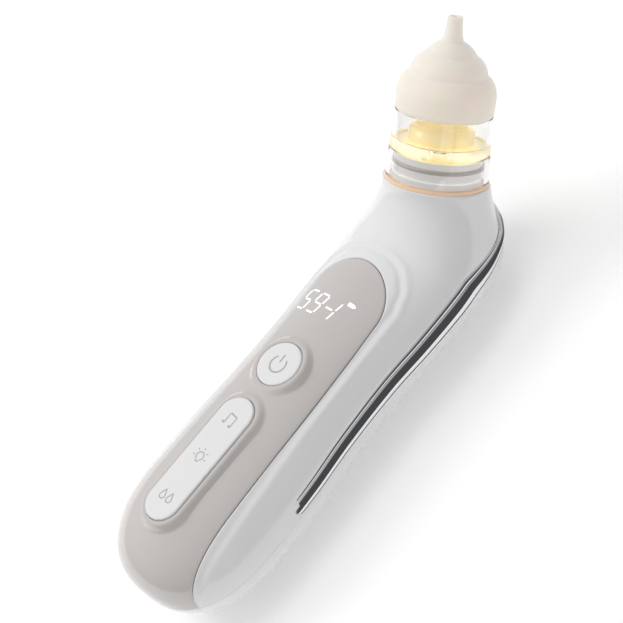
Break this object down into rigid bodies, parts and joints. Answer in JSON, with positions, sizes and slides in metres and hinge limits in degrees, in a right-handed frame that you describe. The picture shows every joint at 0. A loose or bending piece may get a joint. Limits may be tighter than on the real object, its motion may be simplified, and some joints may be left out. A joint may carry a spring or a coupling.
{
  "type": "electric nasal aspirator",
  "caption": "Hand-held battery nasal aspirator: bent gloss white body with a warm grey key panel, chrome band, lit clear collection cup and soft stepped silicone tip.",
  "frame": {"origin": "on the flat back that the part lies on, below the handle's middle line", "axes": "+X along the handle towards the nozzle, +Z out of the front through the keys, +Y across"},
  "size_m": [0.1804, 0.0536, 0.0753],
  "materials": {
    "shell_white": "gloss white ABS",
    "panel_greige": "gloss warm grey, painted from behind",
    "chrome_trim": "vacuum-plated chrome",
    "steel_screw": "zinc-plated",
    "switch_black": "moulded black",
    "board_green": "solder mask",
    "display_lit": "white LED display",
    "battery_wrap": "heat-shrink wrap",
    "nickel_tab": "nickel strip",
    "frame_black": "black moulding",
    "steel_bright": "bright steel",
    "steel_can": "plated steel can",
    "rubber_grey": "moulded rubber",
    "pump_nylon": "natural nylon",
    "hose_clear": "translucent silicone tube",
    "felt_grey": "felt pad",
    "spigot_white": "gloss white ABS",
    "silicone_white": "white silicone",
    "board_white": "white solder mask",
    "led_warm": "warm LED, emissive",
    "light_diffuser": "milky diffuser, lit",
    "seal_peach": "peach silicone",
    "key_white": "satin white",
    "brass_turned": "turned brass",
    "cup_clear": "clear rigid plastic",
    "silicone_tip": "milky translucent silicone"
  },
  "bodies": {
    "housing": {"front_shell": "shell_white", "rear_shell": "shell_white", "control_panel": "panel_greige", "chrome_trim": "chrome_trim", "housing_screws": "steel_screw", "tact_switches": "switch_black", "main_board": "board_green", "board_screws": "steel_screw", "display_module": "display_lit", "speaker": "switch_black", "battery_cell": "battery_wrap", "battery_tabs": "nickel_tab", "battery_cradle": "frame_black", "charge_inlet": "steel_bright", "inlet_board": "board_green", "pump_motor": "steel_can", "motor_sleeve": "rubber_grey", "motor_bracket": "frame_black", "pump_frame": "frame_black", "pump_yoke": "pump_nylon", "pump_diaphragm": "rubber_grey", "pump_valve_plate": "pump_nylon", "pump_valve_flaps": "rubber_grey", "pump_cover": "frame_black", "suction_hose": "hose_clear", "exhaust_hose": "hose_clear", "exhaust_muffler": "felt_grey", "suction_spigot": "spigot_white", "spigot_o_ring": "silicone_white", "port_gasket": "silicone_white", "light_board": "board_white", "light_leds": "led_warm", "light_ring": "light_diffuser", "cup_seal_ring": "seal_peach"},
    "power_key": {"power_button": "key_white", "power_switch_plunger": "switch_black"},
    "mode_pad": {"mode_key_pad": "silicone_white", "mode_switch_plungers": "switch_black"},
    "mode_key": {"mode_key": "key_white"},
    "pump_rotor": {"motor_shaft": "steel_bright", "eccentric": "brass_turned"},
    "cup": {"collection_cup": "cup_clear", "splash_dome": "cup_clear"},
    "tip": {"silicone_tip": "silicone_tip"}
  },
  "joints": [
    {"name": "power_press", "type": "slide", "parent": "housing", "child": "power_key", "axis": [0, 0, -1], "range_m": [0, 0.00035], "stiffness_N_per_m": 900, "springref_m": -0.0008},
    {"name": "mode_press", "type": "slide", "parent": "housing", "child": "mode_pad", "axis": [0, 0, -1], "range_m": [0, 0.00035], "stiffness_N_per_m": 1200, "springref_m": -0.0008},
    {"name": "mode_rock", "type": "hinge", "parent": "mode_pad", "child": "mode_key", "pos_m": [-0.0252, 0, 0.03295], "axis": [0, 1, 0], "range_deg": [-0.45, 0.45], "stiffness_Nm_per_rad": 0.12},
    {"name": "rotor_spin", "type": "hinge", "parent": "housing", "child": "pump_rotor", "pos_m": [0.021, 0, 0.0173], "axis": [1, 0, 0], "continuous": true},
    {"name": "cup_pull", "type": "slide", "parent": "housing", "child": "cup", "axis": [0.6498, 0, 0.7601], "range_m": [0, 0.014]},
    {"name": "tip_pull", "type": "slide", "parent": "cup", "child": "tip", "axis": [0.6498, 0, 0.7601], "range_m": [0, 0.012]}
  ]
}
